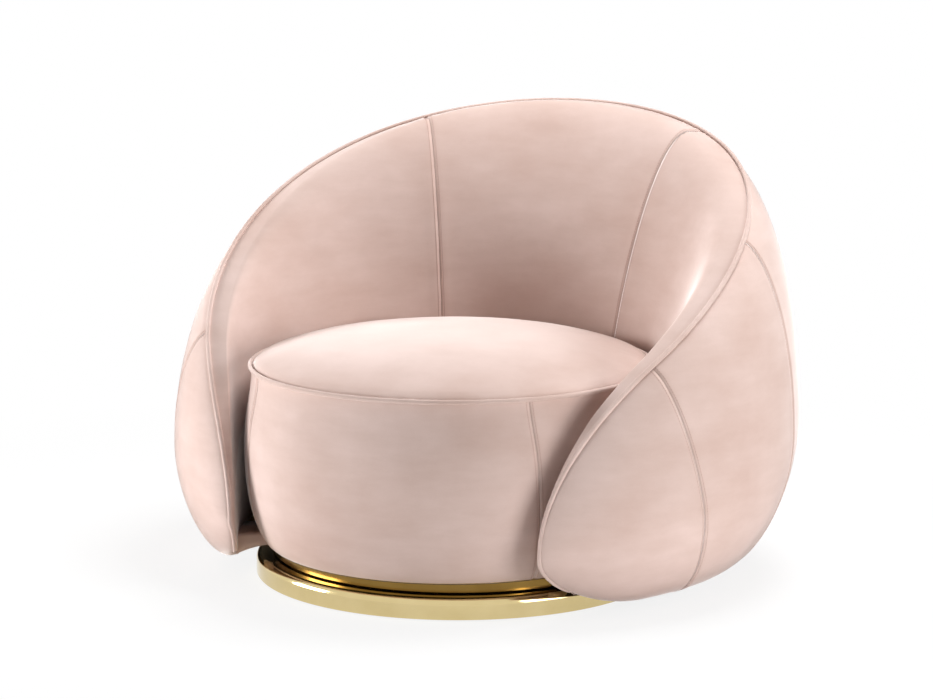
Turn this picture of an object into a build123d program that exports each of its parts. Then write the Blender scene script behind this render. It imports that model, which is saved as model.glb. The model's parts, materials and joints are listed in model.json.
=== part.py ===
"""Swivel lounge chair: a round drum seat, wrapped by a padded shell, on a low polished base.

Millimetres, +Z up. The chair faces -Y, and its seat turns about Z at the origin, which is on the floor.
"""

from build123d import *
from math import cos, degrees, radians, sin, sqrt
import os

# Base: a pan round a plywood core, on floor glides
base_reach = 6  # the pan stands this far outside the drum's welt
base_height = 38
base_lift = 2  # the pan's lower edge above the floor
base_wall = 2.5
base_edge = 12  # rounding of the pan's top edge
base_bore = 95
core_thickness = 26
core_fit = 0.5
glide_radius = 20
glide_edge = 1
glide_inset = 43  # from the pan's edge to the middle of a glide
glide_count = 6

# Swivel: two races side by side with balls between them
bearing_radius = 140  # pitch circle of the balls
ball_radius = 7
ball_count = 24
ball_clearance = 0.3
race_width = 24
race_gap = 4
cage_thickness = 2
cage_height = 18
running_gap = 2.5  # between what turns and what stands still
race_screw_count = 6

# Collar: the band that hides the bearing
collar_reach = 4  # it stands this far outside the drum's foot
collar_wall = 2.5
collar_flange = 24
collar_screw_count = 8

# Fasteners
screw_radius = 2.5
screw_head_radius = 5
screw_head = 2.5
screw_length = 18
bolt_radius = 3
bolt_head_radius = 6
nut_radius = 5
nut_flange_radius = 11
nut_flange = 1.5
hole_clearance = 0.2

# Baseboard, which carries the drum and the shell
board_bottom = 60
board_thickness = 18
board_end_angle = 131  # how far round it reaches under the arms
board_fit = 0.5  # between its front edge and the drum's cover

# Drum seat
drum_y = -27
drum_radius = 347  # at the welt
seat_height = 370  # at the welt
seat_crown = 52
seat_flat_radius = 200  # where the crown starts to fall away
drum_belly = 12  # the side stands this far outside the welt
belly_height = 225
drum_tuck = 27  # the foot lies this far inside the welt
drum_foot = 62
front_seam_angle = 48.8  # each side of straight ahead
crown_reach = 18  # how the crown rounds over towards the welt
crown_rise = 40
drum_padding = 39  # from the welt to the skin
skin_thickness = 3
hoop_width = 50
hoop_thickness = 25
seat_padding = 70  # from the top of the hoop to the welt
post_count = 8
post_size = 40
spring_count = 5
spring_spacing = 80
spring_wire = 4
spring_pitch = 30
spring_width = 50
spring_bend = 12
clip_length = 18
clip_width = 14
clip_wall = 5
spring_pad_thickness = 3

# Shell: its rim, in plan about the shell's own axis and in side view
shell_y = 47
rim_reach_back = 123  # the rim stands this far outside the drum's radius at its belly
rim_reach_corner = 127
rim_reach_side = 111
rim_reach_nose = 92
corner_angle = 45
side_angle = 90
nose_angle = 140.5
nose_inset = 0.9  # degrees, left free for the welt at the nose
nose_room = 37.5  # least depth of the shell, before the nose is rounded off
nose_height = 117
nose_radius = 363  # of the arc that rises from the nose
rim_slope = 33.5  # degrees, where the nose arc ends
rim_arc_radius = 3800  # of the long gentle arc up to the back
under_run = 165  # length of the curve under the nose
shell_foot = 18

# Shell: its padded section, at the back, at the side and at the nose
bulge_back = 82
bulge_side = 85
bulge_nose = 35
belly_back = 0.47  # height of the widest place, as a share of the section
belly_side = 0.41
belly_nose = 0.48
tuck_back = 36  # how far the foot lies inside the rim
tuck_side = 31
tuck_nose = 40
lean_back = 0.12  # how early the inner face leans out, as a share of its way to the crest
lean_side = 0.48
lean_nose = 0.5
bend_back = 0.435  # height where the inner face starts to lean, as a share
bend_side = 0.64
bend_nose = 0.62
crest_width = 34  # from the welt to the top of the roll
crest_height = 3
crest_share = 0.4  # the crest lies at least this share of the way from the inner face to the rim
drum_gap = 1  # between the drum and the shell's inner face
nose_rounding = 10  # power of the curve that rounds off the bulge at the nose
inner_rounding = 4

# Layers of the upholstery
cover = 3
foam = 25
liner = 3
layer_gap = 0.3
welt_radius = 4
welt_gap = 0.2
dust_cloth = 0.8

# Seams of the shell's cover, as plan angles from the back
inner_seam_angle = 35
back_seam_angle = 78
front_seam_top = 114.7
front_seam_foot = 102.8
pad_angle = 118  # where the arm's solid front pad starts

# Frame of the shell
rib_count = 9
rib_end_angle = 106
rib_thickness = 18
rib_ease = 8
rib_foot = 6  # least width of a rib on the board
rail_width = 20
rail_depth = 20
rail_inset = 32  # from the welt line to the rail's inner side
bracket_leg = 30
bracket_width = 16
bracket_thickness = 3

# Sizes that follow
base_radius = drum_radius + base_reach
edge_radius = base_radius - base_edge
edge_height = base_height - base_edge
glide_circle = base_radius - glide_inset
drum_foot_radius = drum_radius - drum_tuck
collar_radius = drum_foot_radius + collar_reach
skin_radius = drum_radius - drum_padding
hoop_top = seat_height - seat_padding
belly_radius = drum_radius + drum_belly
rim_radius_back = belly_radius + rim_reach_back
rim_radius_corner = belly_radius + rim_reach_corner
rim_radius_side = belly_radius + rim_reach_side
rim_radius_nose = belly_radius + rim_reach_nose
board_top = board_bottom + board_thickness
core_top = base_height - base_wall
core_bottom = core_top - core_thickness
ball_height = (base_height + board_bottom) / 2
outer_race_inside = bearing_radius + race_gap / 2
outer_race_circle = outer_race_inside + race_width / 2
inner_race_outside = bearing_radius - race_gap / 2
inner_race_circle = inner_race_outside - race_width / 2
outer_race_top = board_bottom - running_gap
turning_bottom = base_height + running_gap
first_ball = 180 / ball_count
collar_circle = collar_radius - collar_flange / 2
welt_seat = welt_radius + welt_gap
pad_depth = cover + layer_gap
liner_depth = pad_depth + foam + layer_gap
frame_depth = liner_depth + liner + layer_gap
rib_depth = frame_depth + rib_ease
hoop_radius = skin_radius - skin_thickness - layer_gap
hoop_middle = hoop_radius - hoop_width / 2
spring_height = hoop_top + layer_gap + spring_wire / 2
spring_pad_bottom = spring_height + spring_wire / 2 + layer_gap
seat_pad_bottom = spring_pad_bottom + spring_pad_thickness + layer_gap
board_disc_radius = drum_foot_radius - cover - board_fit
glide_recess = screw_head + glide_edge
drum_reach = belly_radius + drum_gap
drum_axis = Axis((0, drum_y, 0), (0, 0, 1))
above = (Align.CENTER, Align.CENTER, Align.MIN)
below = (Align.CENTER, Align.CENTER, Align.MAX)


def upward(height):
    """Level plane that faces up."""
    return Plane.XY.offset(height)


def downward(height):
    """Level plane that faces down."""
    return Plane(origin=(0, 0, height), x_dir=(1, 0, 0), z_dir=(0, 0, -1))


def ring_sector(origin_y, angle):
    """Upright plane through an axis: its x runs outwards at a plan angle from the back, its y runs up."""
    outwards = (sin(radians(angle)), cos(radians(angle)), 0)
    along = (cos(radians(angle)), -sin(radians(angle)), 0)
    return Plane(origin=(0, origin_y, 0), x_dir=outwards, z_dir=along)


def shell_plane(angle):
    return ring_sector(shell_y, angle)


def shell_point(angle, radius, height):
    """Place of a point of the shell's section."""
    return Vector(radius * sin(radians(angle)), shell_y + radius * cos(radians(angle)), height)


def through(angle, *stations):
    """Polynomial in the cosine of the plan angle that takes each station's value at its angle."""
    cosine = cos(radians(angle))
    total = 0
    for own_angle, value in stations:
        own = cos(radians(own_angle))
        others = [cos(radians(other)) for other, _ in stations if other != own_angle]
        for other in others:
            value *= (cosine - other) / (own - other)
        total += value
    return total


def along_shell(angle, back, side, nose):
    """Size that runs smoothly from the back, through the side, to the nose."""
    return through(angle, (0, back), (side_angle, side), (nose_angle, nose))


def rim_radius(angle):
    """Plan radius of the rim."""
    back = (0, rim_radius_back)
    corner = (corner_angle, rim_radius_corner)
    side = (side_angle, rim_radius_side)
    nose = (nose_angle, rim_radius_nose)
    return through(angle, back, corner, side, nose)


def rim_y(angle):
    return shell_y + rim_radius(angle) * cos(radians(angle))


nose_y = rim_y(nose_angle)
arc_start_y = nose_y + nose_radius * (1 - sin(radians(rim_slope)))
arc_start_z = nose_height + nose_radius * cos(radians(rim_slope))
arc_centre_y = arc_start_y + rim_arc_radius * sin(radians(rim_slope))
arc_centre_z = arc_start_z - rim_arc_radius * cos(radians(rim_slope))


def rim_height(angle):
    """Height of the rim: a steep arc from the nose, then a long gentle arc to the back."""
    y = rim_y(angle)
    if y < arc_start_y:
        return nose_height + sqrt(max(0, nose_radius**2 - (nose_radius - (y - nose_y)) ** 2))
    return arc_centre_z + sqrt(rim_arc_radius**2 - (y - arc_centre_y) ** 2)


def under_height(angle):
    """Height of the shell's underside, which curves up to the nose in a quarter ellipse."""
    share = 1 - min(rim_y(angle) - nose_y, under_run) / under_run
    return nose_height - (nose_height - shell_foot) * sqrt(1 - share**2)


def welt_drop(angle):
    """How far below the welt line the cover ends, more where the rim is steep."""
    step = 0.05
    rise = rim_height(angle + step) - rim_height(angle - step)
    slope = rise / (2 * radians(step) * rim_radius(angle))
    return welt_seat * sqrt(1 + slope**2)


def outer_fade(angle):
    """Falls from one to nothing at the nose, late and steeply."""
    return sqrt(1 - (abs(angle) / nose_angle) ** nose_rounding)


def inner_fade(angle):
    """Falls from one at the side to nothing at the nose."""
    share = max(0, abs(angle) - side_angle) / (nose_angle - side_angle)
    return sqrt(1 - share**inner_rounding)


def inner_radius(angle):
    """Radius of the shell's inner face low down: it follows the drum and opens away from it at the nose."""
    offset = shell_y - drum_y
    beside_drum = sqrt(drum_reach**2 - (offset * sin(radians(angle))) ** 2) - offset * cos(radians(angle))
    return rim_radius(angle) - max(rim_radius(angle) - beside_drum, nose_room) * inner_fade(angle)


def foot_radius(angle):
    """Radius where the outer cover ends underneath, always outside the inner cover and the foot of a rib."""
    tucked = rim_radius(angle) - along_shell(angle, tuck_back, tuck_side, tuck_nose) * outer_fade(angle)
    past_ribs = min(1, max(0, (abs(angle) - rib_end_angle) / (pad_angle - rib_end_angle)))
    room = 2 * pad_depth * past_ribs + (rib_depth + rib_foot) * (1 - past_ribs)
    return max(tucked, inner_radius(angle) + room)


def rim_seat(angle, depth, aside):
    """Where inner and outer layers meet under the welt, at a depth below the surface."""
    lean = 0.2  # the roll's middle leans in this much as it goes down
    radius = rim_radius(angle) - welt_seat - lean * depth + aside
    return (radius, rim_height(angle) - welt_drop(angle) - depth)


def outer_curve(angle, depth, foot_height, aside=layer_gap / 2):
    """Outer face of the section at a depth: from the rim out to the belly, then in to the foot."""
    up_pull, down_pull, fall = 0.51, 0.455, 0.4  # shape of the two quarter curves
    low, high = under_height(angle), rim_height(angle)
    bulge = along_shell(angle, bulge_back, bulge_side, bulge_nose) * outer_fade(angle)
    share = along_shell(angle, belly_back, belly_side, belly_nose)
    top_r, top_z = rim_seat(angle, depth, aside)
    out_r, out_z = rim_radius(angle) + bulge - depth, low + share * (high - low)
    foot_r = foot_radius(angle)
    leave = (top_r + up_pull * bulge, top_z - fall * up_pull * bulge)
    reach = (out_r, out_z + up_pull * (top_z - out_z))
    drop = (out_r, out_z - down_pull * (out_z - foot_height))
    tuck = (foot_r + down_pull * (out_r - foot_r), foot_height)
    upper = [(top_r, top_z), leave, reach, (out_r, out_z)]
    lower = [(out_r, out_z), drop, tuck, (foot_r, foot_height)]
    return [upper, lower]


def inner_curve(angle, depth, foot_height, aside=layer_gap / 2):
    """Inner face of the section at a depth: up beside the drum, leaning out to the crest, then to the rim."""
    rise_pull, crest_pull, roll_pull, edge_pull = 0.5, 0.35, 0.6, 0.4  # shape of the two curves
    low, high = under_height(angle), rim_height(angle)
    lean = along_shell(angle, lean_back, lean_side, lean_nose)
    share = along_shell(angle, bend_back, bend_side, bend_nose)
    in_r, bend_z = inner_radius(angle) + depth, low + share * (high - low)
    top_r, top_z = rim_seat(angle, depth, -aside)
    crest_r = max(rim_radius(angle) - crest_width * outer_fade(angle), in_r + crest_share * (top_r - in_r))
    crest_z = high + crest_height * max(0, cos(radians(angle))) - depth
    leave = (in_r + lean * (crest_r - in_r), bend_z + rise_pull * (crest_z - bend_z))
    reach = (crest_r - crest_pull * (crest_r - in_r), crest_z)
    roll = (crest_r + roll_pull * (top_r - crest_r), crest_z)
    edge = (top_r, top_z + edge_pull * (crest_z - top_z))
    return [
        [(in_r, foot_height), (in_r, bend_z)],
        [(in_r, bend_z), leave, reach, (crest_r, crest_z)],
        [(crest_r, crest_z), roll, edge, (top_r, top_z)],
    ]


def back_again(run):
    """The same curves, drawn from their other end."""
    return [points[::-1] for points in run[::-1]]


def inner_layer(angle, near, far):
    """Outline of a layer of the shell's inner side, between two depths."""
    foot_height = max(board_top, under_height(angle) + cover) + layer_gap
    return inner_curve(angle, near, foot_height), back_again(inner_curve(angle, far, foot_height))


def outer_layer(angle, near, far, near_foot, far_foot):
    """Outline of a layer of the shell's outer side, between two depths, with the heights of its two ends."""
    return outer_curve(angle, near, near_foot), back_again(outer_curve(angle, far, far_foot))


def inner_cover(angle):
    return inner_layer(angle, 0, cover)


def inner_foam(angle):
    return inner_layer(angle, pad_depth, pad_depth + foam)


def inner_board(angle):
    return inner_layer(angle, liner_depth, liner_depth + liner)


def outer_cover(angle):
    low = under_height(angle)
    return outer_layer(angle, 0, cover, low, low + cover)


def outer_foam(angle):
    low = under_height(angle) + pad_depth
    return outer_layer(angle, pad_depth, pad_depth + foam, low, board_bottom - layer_gap)


def outer_board(angle):
    low = board_top + layer_gap
    return outer_layer(angle, liner_depth, liner_depth + liner, low, low + liner)


def front_pad(angle):
    """Outline of the whole section inside the cover."""
    depth = pad_depth + layer_gap
    low = under_height(angle) + depth
    return outer_curve(angle, depth, low), inner_curve(angle, depth, low)


def rib(angle):
    """Outline of a rib: it stands on the board, and steps over the foot of the outer liner."""
    sole = foot_radius(angle) - layer_gap
    step = board_top + liner + 2 * layer_gap
    notch = [[(sole, step), (sole, board_top)]]
    return outer_curve(angle, rib_depth, step), notch, inner_curve(angle, rib_depth, board_top)


def rail(angle):
    """Outline of the rail under the rim."""
    inside = rim_radius(angle) - rail_inset
    top = rim_height(angle) - welt_drop(angle) - frame_depth
    corners = [(inside, top), (inside + rail_width, top)]
    corners += [(inside + rail_width, top - rail_depth), (inside, top - rail_depth)]
    return [corners[:2]], [corners[2:]]


def over_rib(angle):
    """Outline of the room above a rib, whose flat top carries the rail at the lower of its two sides."""
    half = degrees(rib_thickness / 2 / rim_radius(angle))
    fall = abs(rim_height(angle + half) - rim_height(angle - half)) / 2
    inside, outside = inner_radius(angle), rim_radius(angle) + bulge_side
    top = rim_height(angle)
    bottom = top - welt_drop(angle) - frame_depth - rail_depth - fall - layer_gap
    return [[(inside, top), (outside, top)]], [[(outside, bottom), (inside, bottom)]]


def section(plane, *runs):
    """Closed sketch on a plane: runs of curves one after another, joined by straight lines."""
    with BuildSketch(plane) as drawn:
        with BuildLine():
            for run, following in zip(runs, runs[1:] + runs[:1]):
                for points in run:
                    Bezier(*points)
                Line(run[-1][-1], following[0][0])
        make_face()
    return drawn.sketch


def shell_sections(outline, angles):
    """Sections of the shell, one at each plan angle."""
    return [section(shell_plane(angle), *outline(angle)) for angle in angles]


def spread(start, end, count):
    """Plan angles at even steps, both ends included."""
    return [start + (end - start) * step / (count - 1) for step in range(count)]


# Plan angles of the sections that each run of the shell is drawn through
cover_end_angle = nose_angle - nose_inset
pad_end_angle = cover_end_angle - degrees(2 * cover / rim_radius_nose) * 1.6
nose_share = (0, 0.36, 0.64, 0.84, 0.96, 1)
inner_back_angles = spread(-inner_seam_angle, inner_seam_angle, 7)
inner_arm_angles = spread(inner_seam_angle, pad_angle, 8)
outer_back_angles = spread(-back_seam_angle, back_seam_angle, 13)
outer_side_angles = spread(back_seam_angle, pad_angle, 5)
cover_nose_angles = [pad_angle + (cover_end_angle - pad_angle) * share for share in nose_share]
pad_angles = [pad_angle + (pad_end_angle - pad_angle) * share for share in nose_share]
liner_end_angle = pad_angle - degrees(layer_gap / rim_radius_nose)
rib_angles = spread(-rib_end_angle, rib_end_angle, rib_count)
rail_angles = spread(-rib_end_angle, rib_end_angle, 2 * rib_count - 1)
liner_angles = [-liner_end_angle] + rail_angles + [liner_end_angle]


def screw(length, shank, head):
    """Screw along the local z: its round head stands on the plane, and its shank goes in."""
    Cylinder(head, screw_head, align=above)
    Cylinder(shank, length, align=below)


def sunk_screw(length, shank, head, mode=Mode.ADD):
    """Screw whose conical head is flush with the plane."""
    Cone(shank, head, head - shank, align=below, mode=mode)
    Cylinder(shank, length, align=below, mode=mode)


def screw_sink(length, shank, head):
    """Clearance hole for a screw with a conical head."""
    sunk_screw(length, shank + hole_clearance, head + hole_clearance, Mode.SUBTRACT)


def shank_hole(length, shank, side=below):
    """Clearance hole for a shank."""
    Cylinder(shank + hole_clearance, length, align=side, mode=Mode.SUBTRACT)


# Base
with BuildPart() as base_pan:
    with BuildSketch(Plane.XZ):
        with BuildLine():
            CenterArc((edge_radius, edge_height), base_edge, 0, 90)
            CenterArc((edge_radius, edge_height), base_edge - base_wall, 0, 90)
            Polyline(
                (base_radius, edge_height),
                (base_radius, base_lift),
                (base_radius - base_wall, base_lift),
                (base_radius - base_wall, edge_height),
            )
            Polyline(
                (edge_radius, core_top),
                (base_bore, core_top),
                (base_bore, base_height),
                (edge_radius, base_height),
            )
        make_face()
    revolve(axis=Axis.Z)
    with PolarLocations(outer_race_circle, race_screw_count):
        shank_hole(base_height, screw_radius, above)

with BuildPart(upward(core_bottom)) as base_core:
    Cylinder(base_radius - base_wall - core_fit, core_thickness, align=above)
    fillet(base_core.edges().group_by(Axis.Z)[-1], base_edge - base_wall)
    Cylinder(base_bore, core_thickness, align=above, mode=Mode.SUBTRACT)
    with PolarLocations(outer_race_circle, race_screw_count):
        shank_hole(core_thickness, screw_radius, above)
    with PolarLocations(glide_circle, glide_count):
        shank_hole(core_thickness, screw_radius, above)

with BuildPart() as floor_glides:
    with PolarLocations(glide_circle, glide_count):
        Cylinder(glide_radius, core_bottom, align=above)
    fillet(floor_glides.edges().group_by(Axis.Z)[0], glide_edge)
    with PolarLocations(glide_circle, glide_count):
        shank_hole(core_bottom, screw_radius, above)
        shank_hole(glide_recess, screw_head_radius, above)

with BuildPart(downward(glide_recess)) as glide_screws:
    with PolarLocations(glide_circle, glide_count):
        screw(screw_length, screw_radius, screw_head_radius)

# Swivel bearing
with BuildPart(upward(outer_race_top)) as outer_race:
    race_height = outer_race_top - base_height
    Cylinder(outer_race_inside + race_width, race_height, align=below)
    Cylinder(outer_race_inside, race_height, align=below, mode=Mode.SUBTRACT)
    with Locations((0, 0, ball_height - outer_race_top)):
        Torus(bearing_radius, ball_radius + ball_clearance, mode=Mode.SUBTRACT)
    with PolarLocations(outer_race_circle, race_screw_count):
        screw_sink(race_height, screw_radius, screw_head_radius)

with BuildPart(upward(outer_race_top)) as outer_race_screws:
    with PolarLocations(outer_race_circle, race_screw_count):
        sunk_screw(race_height + base_wall + screw_length, screw_radius, screw_head_radius)

with BuildPart(upward(ball_height)) as bearing_balls:
    with PolarLocations(bearing_radius, ball_count, start_angle=first_ball):
        Sphere(ball_radius)

with BuildPart(upward(ball_height)) as ball_cage:
    Cylinder(bearing_radius + cage_thickness / 2, cage_height)
    Cylinder(bearing_radius - cage_thickness / 2, cage_height, mode=Mode.SUBTRACT)
    with PolarLocations(bearing_radius, ball_count, start_angle=first_ball):
        Cylinder(ball_radius + ball_clearance, 4 * cage_thickness, rotation=(0, 90, 0), mode=Mode.SUBTRACT)

with BuildPart(downward(turning_bottom)) as inner_race:
    race_height = board_bottom - turning_bottom
    Cylinder(inner_race_outside, race_height, align=below)
    Cylinder(inner_race_outside - race_width, race_height, align=below, mode=Mode.SUBTRACT)
    with Locations((0, 0, turning_bottom - ball_height)):
        Torus(bearing_radius, ball_radius + ball_clearance, mode=Mode.SUBTRACT)
    with PolarLocations(inner_race_circle, race_screw_count):
        screw_sink(race_height, bolt_radius, bolt_head_radius)

with BuildPart(downward(turning_bottom)) as inner_race_bolts:
    with PolarLocations(inner_race_circle, race_screw_count):
        sunk_screw(board_top - turning_bottom, bolt_radius, bolt_head_radius)

with BuildPart(upward(board_top)) as tee_nuts:
    with PolarLocations(inner_race_circle, race_screw_count):
        Cylinder(nut_flange_radius, nut_flange, align=above)
        Cylinder(nut_radius, board_thickness, align=below)
        Cylinder(bolt_radius + hole_clearance, 2 * (board_thickness + nut_flange), mode=Mode.SUBTRACT)

# Collar
with BuildPart() as swivel_collar:
    with BuildSketch(Plane.XZ):
        with BuildLine():
            Polyline(
                (collar_radius, turning_bottom),
                (collar_radius, board_bottom),
                (collar_radius - collar_flange, board_bottom),
                (collar_radius - collar_flange, board_bottom - collar_wall),
                (collar_radius - collar_wall, board_bottom - collar_wall),
                (collar_radius - collar_wall, turning_bottom),
                close=True,
            )
        make_face()
    revolve(axis=Axis.Z)
    with PolarLocations(collar_circle, collar_screw_count):
        shank_hole(board_bottom, screw_radius, above)

with BuildPart(downward(board_bottom - collar_wall)) as collar_screws:
    with PolarLocations(collar_circle, collar_screw_count):
        screw(screw_length, screw_radius, screw_head_radius)

# Places of the brackets that hold each rib to the board from behind, and of their screws
bracket_planes = []
for rib_angle in rib_angles:
    sector = shell_plane(rib_angle)
    behind = -1 if rib_angle > 0 else 1
    middle = (inner_radius(rib_angle) + rib_depth + foot_radius(rib_angle)) / 2
    corner = shell_point(rib_angle, middle, board_top) + sector.z_dir * (behind * rib_thickness / 2)
    bracket_planes.append(Plane(origin=corner, x_dir=sector.z_dir * behind, z_dir=sector.x_dir * -behind))

foot_screw_places = []
side_screw_places = []
for place in bracket_planes:
    on_foot = place.from_local_coords((bracket_leg / 2 + bracket_thickness, bracket_thickness, 0))
    on_side = place.from_local_coords((bracket_thickness, bracket_leg / 2 + bracket_thickness, 0))
    foot_screw_places.append(Location(Plane(origin=on_foot, z_dir=(0, 0, 1))))
    side_screw_places.append(Location(Plane(origin=on_side, z_dir=place.x_dir)))


def board_plan(height, inset):
    """Plan of the board: the drum's disc joined to the shell's footprint, drawn in by an inset."""
    angles = spread(-board_end_angle, board_end_angle, 19)
    edge = [shell_point(angle, foot_radius(angle) - inset, 0) for angle in angles]
    with BuildSketch(upward(height)) as plan:
        with BuildLine():
            Spline(*edge)
            Polyline(edge[-1], (0, drum_y), edge[0])
        make_face()
        with Locations((0, drum_y)):
            Circle(board_disc_radius - inset)
    return plan.sketch


# Baseboard
with BuildPart() as baseboard:
    extrude(board_plan(board_bottom, layer_gap), amount=board_thickness)
    with PolarLocations(inner_race_circle, race_screw_count):
        shank_hole(board_top, nut_radius, above)
    with PolarLocations(collar_circle, collar_screw_count):
        shank_hole(board_top, screw_radius, above)
    with Locations(*foot_screw_places):
        shank_hole(bracket_thickness + screw_length, screw_radius)

with BuildPart() as dust_cover:
    extrude(board_plan(board_bottom - layer_gap - dust_cloth, 2 * layer_gap), amount=dust_cloth)
    Cylinder(collar_radius + layer_gap, board_bottom, align=above, mode=Mode.SUBTRACT)


def drum_side(depth):
    """Side of the drum at a depth below its surface: from the welt out to the belly, then in to the foot."""
    top_pull, belly_pull, foot_pull, foot_rise = 0.35, 0.5, 0.55, 0.12  # shape of the two curves
    top_r, top_z = drum_radius - welt_seat - depth, seat_height - cover - 2 * layer_gap
    out_r, out_z = belly_radius - depth, belly_height
    foot_r, foot_z = drum_foot_radius - depth, drum_foot
    leave = (top_r, top_z - top_pull * (top_z - out_z))
    reach = (out_r, out_z + belly_pull * (top_z - out_z))
    drop = (out_r, out_z - foot_pull * (out_z - foot_z))
    tuck = (foot_r + belly_pull * (out_r - foot_r), foot_z + foot_rise * (out_z - foot_z))
    return [[(top_r, top_z), leave, reach, (out_r, out_z)], [(out_r, out_z), drop, tuck, (foot_r, foot_z)]]


def seat_top(depth):
    """Crowned top of the seat at a depth below its surface, from the middle to the welt."""
    crown = seat_height + seat_crown - depth
    edge_r, edge_z = drum_radius - welt_seat - depth, seat_height + layer_gap - depth
    over = (edge_r - crown_reach, edge_z + crown_rise)
    return [[(0, crown), (seat_flat_radius, crown), over, (edge_r, edge_z)]]


def drum_section(angle, *runs):
    """Closed sketch in an upright plane through the drum's axis."""
    return section(ring_sector(drum_y, angle), *runs)


# Everything inside the drum's cover, to be turned and then cut into its layers
axis_run = [[(0, drum_foot), (0, belly_height)]]
drum_filling = drum_section(0, seat_top(pad_depth), drum_side(pad_depth), axis_run)
drum_cover = (drum_side(0), back_again(drum_side(cover)))

# Drum
with BuildPart(Plane((0, drum_y, board_top))) as drum_posts:
    with PolarLocations(hoop_middle, post_count):
        Box(post_size, post_size, hoop_top - hoop_thickness - board_top, align=above)

with BuildPart(Plane((0, drum_y, hoop_top))) as seat_hoop:
    Cylinder(hoop_radius, hoop_thickness, align=below)
    Cylinder(hoop_radius - hoop_width, hoop_thickness, align=below, mode=Mode.SUBTRACT)

with BuildPart(Plane((0, drum_y, board_top))) as drum_skin:
    Cylinder(skin_radius, hoop_top - board_top, align=above)
    Cylinder(skin_radius - skin_thickness, hoop_top - board_top, align=above, mode=Mode.SUBTRACT)

spring_rows = [drum_y + spring_spacing * (row - (spring_count - 1) / 2) for row in range(spring_count)]
spring_ends = [sqrt(hoop_middle**2 - (row_y - drum_y) ** 2) for row_y in spring_rows]

with BuildPart() as seat_springs:
    for row_y, end in zip(spring_rows, spring_ends):
        bends = int((2 * end - 2 * spring_width) / spring_pitch)
        first = -bends * spring_pitch / 2
        route = [(-end, row_y), (first, row_y)]
        for bend in range(bends):
            side = row_y + spring_width / 2 * (-1) ** bend
            route += [(first + bend * spring_pitch, side), (first + (bend + 1) * spring_pitch, side)]
        route += [(-first, row_y), (end, row_y)]
        with BuildLine(upward(spring_height)) as wire_path:
            FilletPolyline(*route, radius=spring_bend)
        with BuildSketch(Plane(origin=wire_path.line @ 0, z_dir=wire_path.line % 0)):
            Circle(spring_wire / 2)
        sweep(path=wire_path.line)

with BuildPart(upward(hoop_top)) as spring_clips:
    clip_height = spring_pad_bottom - hoop_top - layer_gap
    slot_width = spring_wire + 2 * layer_gap
    for row_y, end in zip(spring_rows, spring_ends):
        for side in (-1, 1):
            with Locations((side * (end + clip_wall - clip_length / 2), row_y)):
                Box(clip_length, clip_width, clip_height, align=above)
            with Locations((side * (end + layer_gap - clip_length / 2), row_y)):
                Box(clip_length, slot_width, clip_height, align=above, mode=Mode.SUBTRACT)

with BuildPart(Plane((0, drum_y, spring_pad_bottom))) as spring_pad:
    Cylinder(hoop_radius, spring_pad_thickness, align=above)

with BuildPart() as seat_foam:
    revolve(drum_filling, axis=drum_axis)
    split(bisect_by=upward(seat_pad_bottom), keep=Keep.TOP)

with BuildPart() as drum_foam:
    revolve(drum_filling, axis=drum_axis)
    split(bisect_by=upward(board_top + layer_gap), keep=Keep.TOP)
    split(bisect_by=upward(seat_pad_bottom - layer_gap), keep=Keep.BOTTOM)
    with Locations((0, drum_y, 0)):
        Cylinder(skin_radius + layer_gap, seat_height, align=above, mode=Mode.SUBTRACT)

with BuildPart() as seat_cover:
    revolve(drum_section(0, seat_top(0), back_again(seat_top(cover))), axis=drum_axis)

# The drum's side cover; plan angles run from the back, so straight ahead is at half a turn
half_turn = 180
side_panel_arc = half_turn - front_seam_angle

with BuildPart() as drum_front_panel:
    front_start = drum_section(half_turn + front_seam_angle, *drum_cover)
    revolve(front_start, axis=drum_axis, revolution_arc=2 * front_seam_angle)

with BuildPart() as drum_side_panel_left:
    revolve(drum_section(side_panel_arc, *drum_cover), axis=drum_axis, revolution_arc=side_panel_arc)
    extrude(board_plan(board_bottom, layer_gap), amount=board_thickness, mode=Mode.SUBTRACT)

with BuildPart() as drum_side_panel_right:
    mirror(drum_side_panel_left.part, about=Plane.YZ)

with BuildPart(Plane((0, drum_y, seat_height))) as seat_welt:
    Torus(drum_radius, welt_radius)

# Frame of the shell
with BuildPart() as rim_rail:
    loft(shell_sections(rail, rail_angles))

with BuildPart() as inner_liner:
    loft(shell_sections(inner_board, liner_angles))

with BuildPart() as outer_liner:
    loft(shell_sections(outer_board, liner_angles))

with BuildPart() as shell_ribs:
    for sketch in shell_sections(rib, rib_angles):
        extrude(sketch, amount=rib_thickness / 2, both=True)
    for sketch in shell_sections(over_rib, rib_angles):
        extrude(sketch, amount=rib_thickness, both=True, mode=Mode.SUBTRACT)
    with Locations(*side_screw_places):
        shank_hole(bracket_thickness + screw_length, screw_radius)

with BuildPart() as rib_brackets:
    for place in bracket_planes:
        with BuildSketch(place):
            with BuildLine():
                Polyline(
                    (0, 0),
                    (bracket_leg, 0),
                    (bracket_leg, bracket_thickness),
                    (bracket_thickness, bracket_thickness),
                    (bracket_thickness, bracket_leg),
                    (0, bracket_leg),
                    close=True,
                )
            make_face()
        extrude(amount=bracket_width / 2, both=True)
    with Locations(*foot_screw_places, *side_screw_places):
        shank_hole(bracket_thickness, screw_radius)

with BuildPart() as rib_screws:
    with Locations(*foot_screw_places, *side_screw_places):
        screw(screw_length, screw_radius, screw_head_radius)

# Padding of the shell
with BuildPart() as inner_back_foam:
    loft(shell_sections(inner_foam, inner_back_angles))

with BuildPart() as inner_arm_foam_left:
    loft(shell_sections(inner_foam, inner_arm_angles))

with BuildPart() as inner_arm_foam_right:
    mirror(inner_arm_foam_left.part, about=Plane.YZ)

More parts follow.
